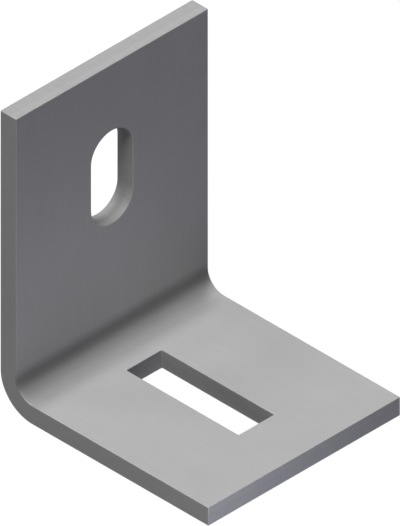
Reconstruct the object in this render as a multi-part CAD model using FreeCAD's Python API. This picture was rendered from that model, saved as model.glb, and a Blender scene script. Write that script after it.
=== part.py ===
import FreeCAD, Part

import math
import os

# Strut angle fitting: one steel plate, punched flat and folded once at right angles.
# The upright leg has a round-ended slot for a bolt. The foot has a rectangular slot that runs away
# from the fold.
# All sizes are in millimetres.
# X runs along the fold, with X = 0 midway along it. The foot points to -Y, the upright's outside
# face to +Y. Z = 0 is the plane that the foot stands on, and the origin is the middle of the footprint.

# Plate and fold
PLATE_WIDTH = 60.0
PLATE_THICKNESS = 5.0
UPRIGHT_HEIGHT = 80.0
FOOT_LENGTH = 65.0
INSIDE_BEND_RADIUS = 5.0

# Round-ended slot in the upright, its length measured over the round ends
BOLT_SLOT_WIDTH = 13.0
BOLT_SLOT_LENGTH = 25.0
BOLT_SLOT_CENTRE_HEIGHT = 49.5

# Rectangular slot in the foot, set back from the upright's outside face
FOOT_SLOT_WIDTH = 11.0
FOOT_SLOT_LENGTH = 35.0
FOOT_SLOT_SETBACK = 15.0
FOOT_SLOT_CORNER_RADIUS = 0.3

# Rounding that deburring leaves on every cut edge
EDGE_BREAK_RADIUS = 0.2

# Two faces that meet at less than this angle run smoothly into each other, so their edge isn't rounded
SMOOTH_ANGLE_DEG = 10.0

# Places that follow from the sizes
BACK_Y = FOOT_LENGTH / 2
FRONT_Y = BACK_Y - FOOT_LENGTH
INSIDE_Y = BACK_Y - PLATE_THICKNESS
OUTSIDE_BEND_RADIUS = INSIDE_BEND_RADIUS + PLATE_THICKNESS
BEND_Y = BACK_Y - OUTSIDE_BEND_RADIUS
BEND_Z = OUTSIDE_BEND_RADIUS
LEFT_X = -PLATE_WIDTH / 2

ALONG_X = FreeCAD.Vector(1, 0, 0)
ALONG_Y = FreeCAD.Vector(0, 1, 0)
ALONG_Z = FreeCAD.Vector(0, 0, 1)


def line(start, end):
    """Straight edge between two points."""
    return Part.LineSegment(start, end).toShape()


def arc(centre, radius, across, up, start_deg, end_deg):
    """Circular edge in the plane of the unit vectors across and up, its angles counted from across."""

    def on_circle(angle_deg):
        angle = math.radians(angle_deg)
        return centre + across * (radius * math.cos(angle)) + up * (radius * math.sin(angle))

    middle_deg = (start_deg + end_deg) / 2
    return Part.Arc(on_circle(start_deg), on_circle(middle_deg), on_circle(end_deg)).toShape()


def closed_outline(edges):
    """Flat face inside a run of edges, with a straight edge from the end of each to the next one's start."""
    run = []
    for edge, following in zip(edges, edges[1:] + edges[:1]):
        run.append(edge)
        run.append(line(edge.valueAt(edge.LastParameter), following.valueAt(following.FirstParameter)))
    return Part.Face(Part.Wire(run))


def on_section(y, z):
    """Point of the fold's section, at the plate's left edge."""
    return FreeCAD.Vector(LEFT_X, y, z)


def folded_plate():
    """The bare fold: an L section whose two arcs have one centre, so its thickness is the same all along."""
    bend_centre = on_section(BEND_Y, BEND_Z)
    section = closed_outline(
        [
            line(on_section(INSIDE_Y, UPRIGHT_HEIGHT), on_section(BACK_Y, UPRIGHT_HEIGHT)),
            arc(bend_centre, OUTSIDE_BEND_RADIUS, ALONG_Y, ALONG_Z, 0, -90),
            line(on_section(FRONT_Y, 0), on_section(FRONT_Y, PLATE_THICKNESS)),
            arc(bend_centre, INSIDE_BEND_RADIUS, ALONG_Y, ALONG_Z, -90, 0),
        ]
    )
    return section.extrude(ALONG_X * PLATE_WIDTH)


def bolt_slot_cutter():
    """Round-ended bar that runs through the upright, from its inside face to its outside face."""
    end_radius = BOLT_SLOT_WIDTH / 2
    centre = FreeCAD.Vector(0, INSIDE_Y, BOLT_SLOT_CENTRE_HEIGHT)
    to_end_centre = ALONG_Z * (BOLT_SLOT_LENGTH / 2 - end_radius)
    outline = closed_outline(
        [
            arc(centre + to_end_centre, end_radius, ALONG_X, ALONG_Z, 0, 180),
            arc(centre - to_end_centre, end_radius, ALONG_X, ALONG_Z, 180, 360),
        ]
    )
    return outline.extrude(ALONG_Y * PLATE_THICKNESS)


def foot_slot_cutter():
    """Rectangular bar with barely rounded corners that runs up through the foot."""
    centre = FreeCAD.Vector(0, BACK_Y - FOOT_SLOT_SETBACK - FOOT_SLOT_LENGTH / 2, 0)
    to_corner_x = ALONG_X * (FOOT_SLOT_WIDTH / 2 - FOOT_SLOT_CORNER_RADIUS)
    to_corner_y = ALONG_Y * (FOOT_SLOT_LENGTH / 2 - FOOT_SLOT_CORNER_RADIUS)
    corners = []
    for quarter, (side, end) in enumerate([(1, 1), (-1, 1), (-1, -1), (1, -1)]):
        corner_centre = centre + to_corner_x * side + to_corner_y * end
        start_deg = 90 * quarter
        corners.append(
            arc(corner_centre, FOOT_SLOT_CORNER_RADIUS, ALONG_X, ALONG_Y, start_deg, start_deg + 90)
        )
    return closed_outline(corners).extrude(ALONG_Z * PLATE_THICKNESS)


def normal_at(face, point):
    """Outward normal of a face at a point on it."""
    u, v = face.Surface.parameter(point)
    return face.normalAt(u, v)


def sharp_edges(solid):
    """The edges at which two faces meet at an angle, without those where a flat runs on into an arc."""
    found = []
    for edge in solid.Edges:
        first, second = solid.ancestorsOfType(edge, Part.Face)
        middle = edge.valueAt((edge.FirstParameter + edge.LastParameter) / 2)
        angle = normal_at(first, middle).getAngle(normal_at(second, middle))
        if math.degrees(angle) > SMOOTH_ANGLE_DEG:
            found.append(edge)
    return found


def angle_fitting():
    """The finished fitting: folded, slotted and deburred."""
    slotted = folded_plate().cut([bolt_slot_cutter(), foot_slot_cutter()]).Solids[0]
    return slotted.makeFillet(EDGE_BREAK_RADIUS, sharp_edges(slotted))


os.makedirs("parts", exist_ok=True)
angle_fitting().exportStep("parts/angle_fitting.step")
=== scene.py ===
"""Strut angle fitting: a flat bar folded to a right angle, with two pierced slots and a zinc finish.

It stands on a plain white floor in soft studio light. x runs across the bar, y from the foot's front
edge towards the upright, and z up. The part's own lengths are in millimetres until they go into a
mesh, which is in metres. The floor, the lamps and the camera are in metres from the start.
"""

import math

import bpy
import numpy as np
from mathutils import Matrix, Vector


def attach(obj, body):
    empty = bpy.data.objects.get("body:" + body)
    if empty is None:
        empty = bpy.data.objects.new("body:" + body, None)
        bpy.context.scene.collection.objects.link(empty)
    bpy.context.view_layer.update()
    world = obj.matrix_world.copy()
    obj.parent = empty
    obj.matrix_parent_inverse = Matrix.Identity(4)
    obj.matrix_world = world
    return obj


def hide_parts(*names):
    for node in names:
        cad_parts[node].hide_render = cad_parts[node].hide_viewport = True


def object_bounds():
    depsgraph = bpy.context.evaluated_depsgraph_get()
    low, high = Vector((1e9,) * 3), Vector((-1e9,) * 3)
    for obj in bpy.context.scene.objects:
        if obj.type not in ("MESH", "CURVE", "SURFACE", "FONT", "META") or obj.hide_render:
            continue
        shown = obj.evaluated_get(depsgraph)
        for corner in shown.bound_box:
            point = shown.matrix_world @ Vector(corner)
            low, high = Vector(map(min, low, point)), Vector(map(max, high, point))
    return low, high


MM = 0.001
MICRON = 0.001 * MM

# The bar and its fold
PLATE_WIDTH = 60
PLATE_THICKNESS = 5
UPRIGHT_HEIGHT = 80
FOOT_LENGTH = 65
INSIDE_BEND_RADIUS = 5
OUTSIDE_BEND_RADIUS = INSIDE_BEND_RADIUS + PLATE_THICKNESS
MIDDLE_RADIUS = (INSIDE_BEND_RADIUS + OUTSIDE_BEND_RADIUS) / 2
EDGE_BREAK_RADIUS = 0.2

# The two slots; the foot's slot ends its setback short of the upright's outside face
BOLT_SLOT_WIDTH = 13
BOLT_SLOT_LENGTH = 25
BOLT_SLOT_CENTRE_HEIGHT = 49.5
FOOT_SLOT_WIDTH = 11
FOOT_SLOT_LENGTH = 35
FOOT_SLOT_SETBACK = 15
FOOT_SLOT_CORNER_RADIUS = 0.3

# The flat blank before folding, measured along the bar from the foot's front edge
FOOT_FLAT = FOOT_LENGTH - OUTSIDE_BEND_RADIUS
BEND_LENGTH = MIDDLE_RADIUS * math.pi / 2
UPRIGHT_START = FOOT_FLAT + BEND_LENGTH
BLANK_LENGTH = UPRIGHT_START + UPRIGHT_HEIGHT - OUTSIDE_BEND_RADIUS
FOOT_SLOT_END = FOOT_LENGTH - FOOT_SLOT_SETBACK
FOOT_SLOT_START = FOOT_SLOT_END - FOOT_SLOT_LENGTH
BOLT_SLOT_CENTRE = UPRIGHT_START + BOLT_SLOT_CENTRE_HEIGHT - OUTSIDE_BEND_RADIUS

# The axis that the bar is folded round
BEND_AXIS_Y = FOOT_LENGTH / 2 - OUTSIDE_BEND_RADIUS
BEND_AXIS_Z = OUTSIDE_BEND_RADIUS

# How finely the surfaces are divided, and which points and edges count as shared and as sharp
STEPS_ACROSS = 36
STEPS_ALONG = 16
ROWS_ROUND_SLOT = 3
STEPS_IN_BEND = 30
STEPS_IN_HALF_CORNER = 3
STEPS_IN_EDGE_BREAK = 3
SHARED_POINT_DECIMALS = 4
SHARP_EDGE_ANGLE = math.radians(40)

# Zinc finish: its colour and gloss
ZINC_COLOUR = (0.45, 0.45, 0.45)
ZINC_METALLIC = 0.35
ZINC_ROUGHNESS = 0.65

# Size of each mark's grains: across the bar, along it and through its thickness
CLOUD_SIZE = (9, 9, 9)
BLOTCH_SIZE = (1.8, 1.8, 1.8)
GRAIN_SIZE = (0.3, 0.3, 0.3)
ROLL_LINE_SIZE = (0.5, 30, 0.5)
SHEAR_LINE_SIZE = (0.35, 0.35, 9)
TEAR_WAVER_SIZE = (2.5, 2.5, 2.5)

# How many layers of ever finer noise a mark has
PLAIN_LAYERS = 2
RICH_LAYERS = 3

# How far each mark shifts the finish's brightness, as a share of its colour
CLOUD_SHADE = 0.03
BLOTCH_SHADE = 0.03
GRAIN_SHADE = 0.06
ROLL_LINE_SHADE = 0.05
SHEAR_LINE_SHADE = 0.10
TORN_SHADE = -0.05
# Painted light: lightens the pierced slot walls a little
PAINTED_SLOT_WALL_LIGHT = 0.03
# Painted shade: darkens the bend's inside crease
PAINTED_CREASE_SHADE = -0.465

# How far each mark shifts the finish's roughness
CLOUD_ROUGHNESS = 0.04
BLOTCH_ROUGHNESS = 0.06
SHEAR_LINE_ROUGHNESS = 0.10
TORN_ROUGHNESS = 0.12
CREASE_BAND_ROUGHNESS = 0.05

# How high each mark stands, in microns
BLOTCH_RELIEF = 5.0
GRAIN_RELIEF = 1.5
ROLL_LINE_RELIEF = 2.5
SHEAR_LINE_RELIEF = 12.0

# Cut walls: how far they blend into a face and into the bar's ends, how deep the smooth part goes, and
# how far the start of the torn part wavers and blends
FACE_BLEND = 0.1
END_BLEND = 0.5
SMOOTH_CUT_DEPTH = 1.6
TEAR_WAVER = 0.7
TEAR_BLEND = 0.5

# A band along the bend's inside crease, painted darker as shade there and made a little rougher: how far
# before the upright's flat its middle lies, how far to either side it starts and ends its fading, and how
# deep below the inside face it goes
CREASE_BAND_PLACE = 2.1
CREASE_BAND_HALF_CORE = 0.2
CREASE_BAND_HALF_WIDTH = 4.7
CREASE_BAND_DEPTH = 0.6

# Floor and backdrop: the rings are the flat floor's inner ones
COVE_RADIUS = 2.5
COVE_TURN = 0.6
COVE_HEIGHT = 3.0
COVE_FLAT_RINGS = (0.02, 0.1, 0.4)
COVE_STEPS_ROUND = 48
COVE_STEPS_UP_TURN = 8
COVE_WHITE = 0.05
COVE_GLOW = 0.97
FLOOR_GAP = 0.00005

# Tints of the lamps
WHITE = (1, 1, 1)
COOL = (0.96, 0.97, 1.14)
FAINTLY_COOL = (0.95, 0.95, 1.06)
COOL_VIOLET = (0.96, 0.94, 1.14)

# Camera: a true isometric view from the front left, so close that the fitting fills the frame. The shift
# is in shares of the frame's height.
VIEW_AZIMUTH = math.radians(-45)
VIEW_ELEVATION = math.atan(1 / math.sqrt(2))
VIEW_HEIGHT = 116.2 * MM
VIEW_SHIFT = (-0.00047, -0.00036)
VIEW_DISTANCE = 0.5
VIEW_NEAR_LIMIT = 0.01
VIEW_FAR_LIMIT = 10

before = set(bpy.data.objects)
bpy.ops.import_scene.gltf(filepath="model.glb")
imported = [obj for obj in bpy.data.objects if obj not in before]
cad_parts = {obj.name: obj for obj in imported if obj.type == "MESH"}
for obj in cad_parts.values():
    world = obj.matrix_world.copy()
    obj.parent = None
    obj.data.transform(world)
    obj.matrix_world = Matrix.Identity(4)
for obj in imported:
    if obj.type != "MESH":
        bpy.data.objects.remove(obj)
cad_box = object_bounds()


def steps(start, end, count):
    """Evenly spaced numbers from start towards end, without the end itself."""
    return start + (end - start) * np.arange(count) / count


def rectangle_loop(low, high):
    """Points once round a rectangle, anticlockwise from its lowest corner, evenly spaced on each side."""
    left, right = low[0], high[0]
    near, far = low[1], high[1]
    across = np.concatenate(
        [
            steps(left, right, STEPS_ACROSS),
            np.full(STEPS_ALONG, right),
            steps(right, left, STEPS_ACROSS),
            np.full(STEPS_ALONG, left),
        ]
    )
    along = np.concatenate(
        [
            np.full(STEPS_ACROSS, near),
            steps(near, far, STEPS_ALONG),
            np.full(STEPS_ACROSS, far),
            steps(far, near, STEPS_ALONG),
        ]
    )
    return np.stack([across, along], 1)


def round_ended_loop(centre, width, length):
    """Points once round a slot, in step with the rectangle's loop.

    The near end is a half circle, turning from the left to the right side, then comes the straight right
    side, the half circle of the far end, and the straight left side. Both half circles have the slot's
    half width as radius."""
    radius = width / 2
    straight = length / 2 - radius
    turn = steps(0, np.pi, STEPS_ACROSS)
    side = steps(-straight, straight, STEPS_ALONG)
    across = np.concatenate(
        [
            -radius * np.cos(turn),
            np.full(STEPS_ALONG, radius),
            radius * np.cos(turn),
            np.full(STEPS_ALONG, -radius),
        ]
    )
    along = np.concatenate(
        [
            -straight - radius * np.sin(turn),
            side,
            straight + radius * np.sin(turn),
            -side,
        ]
    )
    return np.stack([across, centre + along], 1)


def square_ended_side(start, end, count):
    """One side of the square-ended slot, from the middle of one rounded corner to just before the next's.

    Over each corner's half arc a point at an angle a lies (radius - radius x sine a) along the side from
    the sharp corner, and (radius - radius x cosine a) in from it. The straight run lies between the arcs.
    The middle of the last corner is left to the next side, which starts there."""
    radius = FOOT_SLOT_CORNER_RADIUS
    start, end = np.array(start, float), np.array(end, float)
    length = np.linalg.norm(end - start)
    direction = (end - start) / length
    inward = np.array([-direction[1], direction[0]])
    leaving = np.radians(steps(45, 0, STEPS_IN_HALF_CORNER))
    arriving = leaving[:0:-1]
    run = np.linspace(radius, length - radius, count - len(leaving) - len(arriving))
    along = np.concatenate(
        [radius - radius * np.sin(leaving), run, length - radius + radius * np.sin(arriving)]
    )
    inset = np.concatenate(
        [radius - radius * np.cos(leaving), 0 * run, radius - radius * np.cos(arriving)]
    )
    return start + along[:, None] * direction + inset[:, None] * inward


def square_ended_loop(low, high):
    """Points once round the square-ended slot, in step with the rectangle's loop."""
    corners = [low, (high[0], low[1]), high, (low[0], high[1])]
    counts = [STEPS_ACROSS, STEPS_ALONG, STEPS_ACROSS, STEPS_ALONG]
    return np.vstack(
        [square_ended_side(corners[i], corners[(i + 1) % 4], counts[i]) for i in range(4)]
    )


def band_between(outer, inner):
    """Flat band between two loops: each row lies a fixed share of the way from one to the other."""
    share = np.linspace(0, 1, ROWS_ROUND_SLOT + 1)[:, None, None]
    return outer + share * (inner - outer)


def grid_faces(rows, columns, closed):
    """Four-sided faces of a grid of points; a closed grid joins its last column to its first."""
    index = np.arange(rows * columns).reshape(rows, columns)
    if closed:
        index = np.hstack([index, index[:, :1]])
    corners = [index[:-1, :-1], index[:-1, 1:], index[1:, 1:], index[1:, :-1]]
    return np.stack(corners, -1).reshape(-1, 4)


def flat_blank():
    """Points (across, along) and faces of the bar's blank: a band round each slot, and the bent strip.

    Points that two of the three patches share become one."""
    half = PLATE_WIDTH / 2
    foot = band_between(
        rectangle_loop((-half, 0), (half, FOOT_FLAT)),
        square_ended_loop((-FOOT_SLOT_WIDTH / 2, FOOT_SLOT_START), (FOOT_SLOT_WIDTH / 2, FOOT_SLOT_END)),
    )
    upright = band_between(
        rectangle_loop((-half, UPRIGHT_START), (half, BLANK_LENGTH)),
        round_ended_loop(BOLT_SLOT_CENTRE, BOLT_SLOT_WIDTH, BOLT_SLOT_LENGTH),
    )
    across = np.linspace(-half, half, STEPS_ACROSS + 1)
    along = np.linspace(FOOT_FLAT, UPRIGHT_START, STEPS_IN_BEND + 1)
    bend = np.stack(np.meshgrid(across, along), -1)
    points, faces, count = [], [], 0
    for patch, closed in ((foot, True), (bend, False), (upright, True)):
        points.append(patch.reshape(-1, 2))
        faces.append(grid_faces(patch.shape[0], patch.shape[1], closed) + count)
        count += points[-1].shape[0]
    points, faces = np.vstack(points), np.vstack(faces)
    rounded = np.round(points, SHARED_POINT_DECIMALS)
    _, first, same = np.unique(rounded, axis=0, return_index=True, return_inverse=True)
    return points[first], same.reshape(-1)[faces]


def folded(blank, depth):
    """Place in the folded bar of points on the blank, at a depth below the face that ends up inside.

    Over the bend a point turns round the axis by its distance past the foot's tangent line divided by the
    middle radius, at a radius of the inside radius plus its depth. The foot is straight before that turn
    and the upright is straight after it."""
    across, along = blank.T
    turn = np.clip((along - FOOT_FLAT) / MIDDLE_RADIUS, 0, np.pi / 2)
    radius = INSIDE_BEND_RADIUS + depth
    y = BEND_AXIS_Y + radius * np.sin(turn) - np.clip(FOOT_FLAT - along, 0, None)
    z = BEND_AXIS_Z - radius * np.cos(turn) + np.clip(along - UPRIGHT_START, 0, None)
    return np.stack([across, y, z], 1)


def open_edges(faces):
    """Edges that only one face has, each in that face's own direction: the outline and the slots' rims."""
    edges = np.stack([faces, np.roll(faces, -1, axis=1)], -1).reshape(-1, 2)
    _, where, times = np.unique(np.sort(edges, 1), axis=0, return_inverse=True, return_counts=True)
    return edges[times[where.reshape(-1)] == 1]


def angle_plate():
    """The fitting as one closed surface: the blank's inside and outside face and the cut edges between.

    The inside face keeps the blank's faces, the outside face has them turned round, and each open edge
    gets one wall through the thickness. A small rounding then breaks every cut edge. Each point keeps its
    place in the blank, across it, along it and below its inside face, for the finish to follow."""
    blank, faces = flat_blank()
    count = len(blank)
    points = np.vstack([folded(blank, 0), folded(blank, PLATE_THICKNESS)])
    start, end = open_edges(faces).T
    walls = np.stack([start, start + count, end + count, end], 1)
    every_face = np.vstack([faces, faces[:, ::-1] + count, walls])
    mesh = bpy.data.meshes.new("angle_plate")
    mesh.from_pydata(points * MM, [], every_face.tolist())
    place = np.column_stack([np.vstack([blank, blank]), np.repeat([0, PLATE_THICKNESS], count)])
    mesh.attributes.new("place_in_blank", "FLOAT_VECTOR", "POINT").data.foreach_set(
        "vector", (place * MM).astype(np.float32).ravel()
    )
    mesh.shade_smooth()
    plate = bpy.data.objects.new("angle_plate", mesh)
    bpy.context.scene.collection.objects.link(plate)
    bevel = plate.modifiers.new("broken_edges", "BEVEL")
    bevel.width = EDGE_BREAK_RADIUS * MM
    bevel.segments = STEPS_IN_EDGE_BREAK
    bevel.limit_method = "ANGLE"
    bevel.angle_limit = SHARP_EDGE_ANGLE
    normals = plate.modifiers.new("flat_faces_shade_flat", "WEIGHTED_NORMAL")
    normals.keep_sharp = True
    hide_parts("angle_fitting")
    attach(plate, "root")
    return plate


def add(tree, kind, inputs, **settings):
    """Adds one shader node; each input is a plain value or another node's output."""
    node = tree.nodes.new("ShaderNode" + kind)
    for name, value in settings.items():
        setattr(node, name, value)
    for name, value in inputs.items():
        if isinstance(value, bpy.types.NodeSocket):
            tree.links.new(value, node.inputs[name])
        else:
            node.inputs[name].default_value = value
    return node


def maths(tree, operation, *values):
    """The result of one operation on outputs or plain numbers."""
    return add(tree, "Math", dict(enumerate(values)), operation=operation).outputs[0]


def soft_step(tree, value, low, high):
    """Rises smoothly from 0 at low to 1 at high."""
    inputs = {"Value": value, "From Min": low, "From Max": high}
    return add(tree, "MapRange", inputs, interpolation_type="SMOOTHSTEP").outputs["Result"]


def soft_fall(tree, value, low, high):
    """Falls smoothly from 1 at low to 0 at high: one less the soft step."""
    return maths(tree, "SUBTRACT", 1.0, soft_step(tree, value, low, high))


def cloud(tree, place, size, layers):
    """Smooth noise with grains of this size across, along and in depth.

    It is twice what the plain noise is above its middle of one half, so that it lies about zero and
    reaches roughly one half either way."""
    spread = add(tree, "Mapping", {"Vector": place, "Scale": [1 / (s * MM) for s in size]}).outputs[0]
    noise = add(tree, "TexNoise", {"Vector": spread, "Scale": 1.0, "Detail": layers, "Roughness": 0.5})
    return maths(tree, "MULTIPLY", maths(tree, "SUBTRACT", noise.outputs["Fac"], 0.5), 2.0)


def total(tree, *parts):
    """Sum of outputs, each times its own number."""
    result = 0.0
    for value, amount in parts:
        result = add(tree, "Math", {0: value, 1: amount, 2: result}, operation="MULTIPLY_ADD").outputs[0]
    return result


def zinc_plated_steel():
    """Zinc over rolled bar, with the marks of shearing and piercing under it, and painted shade in the
    fold.

    Everything follows the bar's flat blank: across it, along it, and the depth below the inside face. The
    rolled faces have faint clouds, grain and lines along the bar. Cut faces have fine upright lines, smooth
    for the first third and torn beyond it. The pierced slot walls are lightened a little with painted
    light.
    A band along the bend's inside crease is painted darker, as painted shade, and made a little rougher."""
    material = bpy.data.materials.new("zinc_plated_steel")
    material.use_nodes = True
    tree = material.node_tree
    shader = tree.nodes["Principled BSDF"]
    place = add(tree, "Attribute", {}, attribute_name="place_in_blank").outputs["Vector"]
    across, along, depth = add(tree, "SeparateXYZ", {"Vector": place}).outputs

    # A wall is what lies below both faces. The bar's long sides are rolled, so only the other walls are
    # cut, and of those the ones away from the bar's two ends are pierced.
    below_faces = maths(tree, "MINIMUM", depth, maths(tree, "SUBTRACT", PLATE_THICKNESS * MM, depth))
    wall = soft_step(tree, below_faces, 0.0, FACE_BLEND * MM)
    off_side = maths(tree, "SUBTRACT", PLATE_WIDTH / 2 * MM, maths(tree, "ABSOLUTE", across))
    cut = maths(tree, "MULTIPLY", wall, soft_step(tree, off_side, 0.0, FACE_BLEND * MM))
    off_end = maths(tree, "MINIMUM", along, maths(tree, "SUBTRACT", BLANK_LENGTH * MM, along))
    pierced = maths(tree, "MULTIPLY", cut, soft_step(tree, off_end, FACE_BLEND * MM, END_BLEND * MM))

    # A cut is smooth down to a wavering depth, and torn below it
    waver = cloud(tree, place, TEAR_WAVER_SIZE, PLAIN_LAYERS)
    wavering_depth = total(tree, (depth, 1.0), (waver, TEAR_WAVER * MM))
    tear_start = SMOOTH_CUT_DEPTH * MM
    tear_full = (SMOOTH_CUT_DEPTH + TEAR_BLEND) * MM
    torn = maths(tree, "MULTIPLY", cut, soft_step(tree, wavering_depth, tear_start, tear_full))

    # Marks of the rolling, the plating and the shearing
    clouds = cloud(tree, place, CLOUD_SIZE, RICH_LAYERS)
    blotches = cloud(tree, place, BLOTCH_SIZE, RICH_LAYERS)
    grain = cloud(tree, place, GRAIN_SIZE, PLAIN_LAYERS)
    roll_lines = cloud(tree, place, ROLL_LINE_SIZE, RICH_LAYERS)
    shear_lines = maths(tree, "MULTIPLY", cut, cloud(tree, place, SHEAR_LINE_SIZE, RICH_LAYERS))

    # The crease band of painted shade fades out on either side of its middle, and below the inside face
    off_crease_band = maths(tree, "SUBTRACT", along, (UPRIGHT_START - CREASE_BAND_PLACE) * MM)
    off_crease_band = maths(tree, "ABSOLUTE", off_crease_band)
    beside_crease_band = soft_fall(tree, off_crease_band, CREASE_BAND_HALF_CORE * MM, CREASE_BAND_HALF_WIDTH * MM)
    near_inside = soft_fall(tree, depth, 0.0, CREASE_BAND_DEPTH * MM)
    crease_band = maths(tree, "MULTIPLY", beside_crease_band, near_inside)

    shade = total(
        tree,
        (clouds, CLOUD_SHADE),
        (blotches, BLOTCH_SHADE),
        (grain, GRAIN_SHADE),
        (roll_lines, ROLL_LINE_SHADE),
        (shear_lines, SHEAR_LINE_SHADE),
        (torn, TORN_SHADE),
        # Painted light on the pierced slot walls
        (pierced, PAINTED_SLOT_WALL_LIGHT),
        # Painted shade in the bend's inside crease
        (crease_band, PAINTED_CREASE_SHADE),
    )
    shade = maths(tree, "ADD", shade, 1.0)
    colour = add(tree, "VectorMath", {0: ZINC_COLOUR, "Scale": shade}, operation="SCALE").outputs[0]
    tree.links.new(colour, shader.inputs["Base Color"])

    roughness = total(
        tree,
        (clouds, CLOUD_ROUGHNESS),
        (blotches, BLOTCH_ROUGHNESS),
        (torn, TORN_ROUGHNESS),
        (shear_lines, SHEAR_LINE_ROUGHNESS),
        (crease_band, CREASE_BAND_ROUGHNESS),
    )
    tree.links.new(maths(tree, "ADD", roughness, ZINC_ROUGHNESS), shader.inputs["Roughness"])
    shader.inputs["Metallic"].default_value = ZINC_METALLIC

    relief = total(
        tree,
        (blotches, BLOTCH_RELIEF),
        (grain, GRAIN_RELIEF),
        (roll_lines, ROLL_LINE_RELIEF),
        (shear_lines, SHEAR_LINE_RELIEF),
    )
    bump = add(tree, "Bump", {"Height": relief, "Distance": MICRON, "Strength": 1.0})
    tree.links.new(bump.outputs[0], shader.inputs["Normal"])
    return material


def white_cove():
    """Floor and backdrop in one: flat out to its edge, then turning up in a quarter circle and rising.

    Points go round the middle at each radius and height of that outline, and one face closes the middle.
    Every face looks up or inwards. It is lit almost only by its own even glow, as a light table is, so
    that it stays white and takes a faint shadow."""
    turn = np.linspace(0, np.pi / 2, COVE_STEPS_UP_TURN + 1)
    turned = COVE_RADIUS - COVE_TURN + COVE_TURN * np.sin(turn)
    risen = COVE_TURN - COVE_TURN * np.cos(turn)
    radius = np.concatenate([COVE_FLAT_RINGS, turned, [COVE_RADIUS]])[:, None]
    height = np.concatenate([np.zeros(len(COVE_FLAT_RINGS)), risen, [COVE_HEIGHT]])[:, None] - FLOOR_GAP
    spin = steps(0, 2 * np.pi, COVE_STEPS_ROUND)
    points = np.stack([radius * np.cos(spin), radius * np.sin(spin), height + 0 * spin], -1)
    rings = grid_faces(len(radius), COVE_STEPS_ROUND, True)[:, ::-1].tolist()
    middle = list(range(COVE_STEPS_ROUND))
    mesh = bpy.data.meshes.new("white_cove")
    mesh.from_pydata(points.reshape(-1, 3), [], rings + [middle])
    mesh.shade_smooth()
    cove = bpy.data.objects.new("white_cove", mesh)
    bpy.context.scene.collection.objects.link(cove)
    material = bpy.data.materials.new("white_cove")
    material.use_nodes = True
    shader = material.node_tree.nodes["Principled BSDF"]
    shader.inputs["Base Color"].default_value = (COVE_WHITE, COVE_WHITE, COVE_WHITE, 1)
    shader.inputs["Roughness"].default_value = 1
    shader.inputs["Specular IOR Level"].default_value = 0
    shader.inputs["Emission Color"].default_value = (1, 1, 1, 1)
    shader.inputs["Emission Strength"].default_value = COVE_GLOW
    mesh.materials.append(material)

    # Its glow is seen but neither lights the fitting nor shows in it, and it casts no shadow
    material.cycles.emission_sampling = "NONE"
    cove.visible_diffuse = False
    cove.visible_glossy = False
    cove.visible_shadow = False


def far_softbox(name, towards, degrees_wide, brightness, tint=WHITE):
    """Parallel light from a soft source in one direction.

    Its strength is pi times the brightness, so that a brightness of 1 lights a white face fully."""
    data = bpy.data.lights.new(name, "SUN")
    data.energy = math.pi * brightness
    data.angle = math.radians(degrees_wide)
    data.color = tint
    lamp = bpy.data.objects.new(name, data)
    lamp.rotation_mode = "QUATERNION"
    lamp.rotation_quaternion = Vector(towards).to_track_quat("Z", "Y")
    bpy.context.scene.collection.objects.link(lamp)


def near_lamp(name, place, radius, watts, tint=WHITE):
    """Small round lamp close to the fitting, so that its light falls off across it."""
    data = bpy.data.lights.new(name, "POINT")
    data.energy = watts
    data.shadow_soft_size = radius
    data.color = tint
    lamp = bpy.data.objects.new(name, data)
    lamp.location = place
    lamp.visible_camera = False
    bpy.context.scene.collection.objects.link(lamp)


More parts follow.
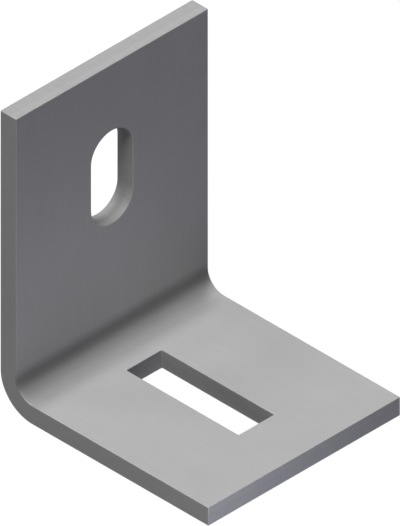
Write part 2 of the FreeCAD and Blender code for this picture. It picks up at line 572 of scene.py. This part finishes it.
def studio():
    """Soft light mostly from overhead and some from the left.

    Weaker lamps low at the left and in front, beside the right side and behind the upright fill the faces
    that those two leave dark, and a little light comes back up from the floor."""
    far_softbox("overhead_softbox", towards=(0.052, 0.07, 1), degrees_wide=6, brightness=0.54)
    far_softbox("overhead_front_softbox", towards=(-0.052, -0.07, 1), degrees_wide=8, brightness=0.135)
    far_softbox("left_softbox", towards=(-0.577, -0.26, 1), degrees_wide=18, brightness=0.434)
    far_softbox("left_back_softbox", towards=(-0.3, 0.5, 1), degrees_wide=12, brightness=0.09)
    far_softbox("left_low_softbox", towards=(-1, 0, 0), degrees_wide=20, brightness=0.095)
    far_softbox("left_back_low_softbox", towards=(-1, 0.3, 0.4), degrees_wide=20, brightness=0.062)
    far_softbox(
        "front_low_softbox", towards=(0, -1, -0.3), degrees_wide=30, brightness=0.071, tint=COOL_VIOLET
    )
    far_softbox("floor_bounce", towards=(0, 0, -1), degrees_wide=60, brightness=0.05)
    near_lamp("front_lamp", place=(-0.022, -0.10, -0.004), radius=0.015, watts=0.044, tint=COOL)
    near_lamp("front_left_lamp", place=(-0.043, -0.085, -0.005), radius=0.015, watts=0.032, tint=COOL)
    near_lamp("right_lamp", place=(0.05, -0.03, 0.12), radius=0.015, watts=0.013, tint=FAINTLY_COOL)
    near_lamp("right_side_lamp", place=(0.17, 0.03, 0.0), radius=0.03, watts=0.25)
    near_lamp("back_lamp", place=(0.01, 0.17, 0.075), radius=0.03, watts=0.24)

    # A level view looks in under the floor's edge, so the world is white too, but to the camera alone
    world = bpy.data.worlds.new("studio")
    bpy.context.scene.world = world
    world.use_nodes = True
    background = world.node_tree.nodes["Background"]
    background.inputs["Color"].default_value = (1, 1, 1, 1)
    background.inputs["Strength"].default_value = 1.0
    world.cycles_visibility.diffuse = False
    world.cycles_visibility.glossy = False


def camera():
    """Isometric view without perspective, centred on the fitting's box and then shifted a hair.

    The camera stands back from the box's centre along the view's own direction: the cosine of the
    elevation goes level, split by the azimuth's sine and cosine, and its sine goes up."""
    level = math.cos(VIEW_ELEVATION)
    back = Vector(
        (level * math.sin(VIEW_AZIMUTH), -level * math.cos(VIEW_AZIMUTH), math.sin(VIEW_ELEVATION))
    )
    data = bpy.data.cameras.new("camera")
    data.type = "ORTHO"
    data.ortho_scale = VIEW_HEIGHT
    data.shift_x, data.shift_y = VIEW_SHIFT
    data.clip_start = VIEW_NEAR_LIMIT
    data.clip_end = VIEW_FAR_LIMIT
    eye = bpy.data.objects.new("camera", data)
    eye.location = (cad_box[0] + cad_box[1]) / 2 + back * VIEW_DISTANCE
    eye.rotation_mode = "QUATERNION"
    eye.rotation_quaternion = (-back).to_track_quat("-Z", "Y")
    bpy.context.scene.collection.objects.link(eye)
    bpy.context.scene.camera = eye


plate = angle_plate()
plate.data.materials.append(zinc_plated_steel())
white_cove()
studio()
camera()
bpy.context.scene.view_settings.view_transform = "Standard"
